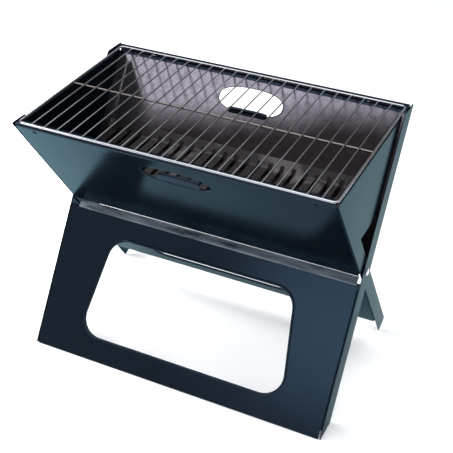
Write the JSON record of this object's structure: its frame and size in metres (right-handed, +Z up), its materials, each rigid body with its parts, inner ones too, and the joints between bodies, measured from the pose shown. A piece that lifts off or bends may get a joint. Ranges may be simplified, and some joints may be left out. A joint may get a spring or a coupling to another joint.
{
  "type": "folding camp grill",
  "caption": "Flat-folding charcoal grill for camping: two crossed sheet-steel trays on side rivets hold a slotted charcoal grate, an ash tray, end plates and a wire cooking grid.",
  "frame": {"origin": "on the ground, under the middle of the object's box", "axes": "+X across the grill to its right end, +Y to the rear, +Z up; the front wall with the vent holes faces -Y"},
  "size_m": [0.455, 0.2798, 0.3733],
  "materials": {
    "stove_enamel": "glossy blue-black stove enamel on pressed sheet steel",
    "rivet_steel": "zinc-plated steel rivets and washers",
    "burnt_steel": "heat-darkened bare steel sheet",
    "chromed_wire": "bright chrome-plated steel wire"
  },
  "bodies": {
    "outer_tray": {"outer_rail_left": "stove_enamel", "outer_rail_right": "stove_enamel", "rear_wall": "stove_enamel", "front_leg": "stove_enamel", "rear_rim_strip": "stove_enamel", "rim_rivet_rear_left": "rivet_steel", "rim_rivet_rear_right": "rivet_steel", "pivot_rivet_left": "rivet_steel", "pivot_rivet_right": "rivet_steel", "pivot_washer_left": "rivet_steel", "pivot_washer_right": "rivet_steel"},
    "inner_tray": {"inner_rail_left": "stove_enamel", "inner_rail_right": "stove_enamel", "front_wall": "stove_enamel", "rear_leg": "stove_enamel", "front_rim_strip": "stove_enamel", "rim_rivet_front_left": "stove_enamel", "rim_rivet_front_right": "stove_enamel"},
    "cooking_grid": {"cooking_grid": "chromed_wire"},
    "charcoal_grate": {"charcoal_grate": "burnt_steel"},
    "ash_tray": {"ash_tray": "burnt_steel"},
    "end_plate_left": {"end_plate_left": "stove_enamel"},
    "end_plate_right": {"end_plate_right": "stove_enamel"}
  },
  "joints": [
    {"name": "fold", "type": "hinge", "parent": "outer_tray", "child": "inner_tray", "pos_m": [0, 0, 0.185], "axis": [-1, 0, 0], "range_deg": [0, 67.7]},
    {"name": "grid_lift", "type": "slide", "parent": "outer_tray", "child": "cooking_grid", "axis": [0, 0.4067, 0.9135], "range_m": [0, 0.54]},
    {"name": "grate_lift", "type": "slide", "parent": "outer_tray", "child": "charcoal_grate", "axis": [0, 0.4067, 0.9135], "range_m": [0, 0.54]},
    {"name": "ash_tray_lift", "type": "slide", "parent": "outer_tray", "child": "ash_tray", "axis": [0, 0.4067, 0.9135], "range_m": [0, 0.54]},
    {"name": "end_plate_left_lift", "type": "slide", "parent": "outer_tray", "child": "end_plate_left", "axis": [0, 0.4067, 0.9135], "range_m": [0, 0.54]},
    {"name": "end_plate_right_lift", "type": "slide", "parent": "outer_tray", "child": "end_plate_right", "axis": [0, 0.4067, 0.9135], "range_m": [0, 0.54]}
  ],
  "couplings": [
    {"joint": "grid_lift", "follows": "fold", "m_per_rad": 0.45},
    {"joint": "grate_lift", "follows": "fold", "m_per_rad": 0.45},
    {"joint": "ash_tray_lift", "follows": "fold", "m_per_rad": 0.45},
    {"joint": "end_plate_left_lift", "follows": "fold", "m_per_rad": 0.45},
    {"joint": "end_plate_right_lift", "follows": "fold", "m_per_rad": 0.45}
  ]
}
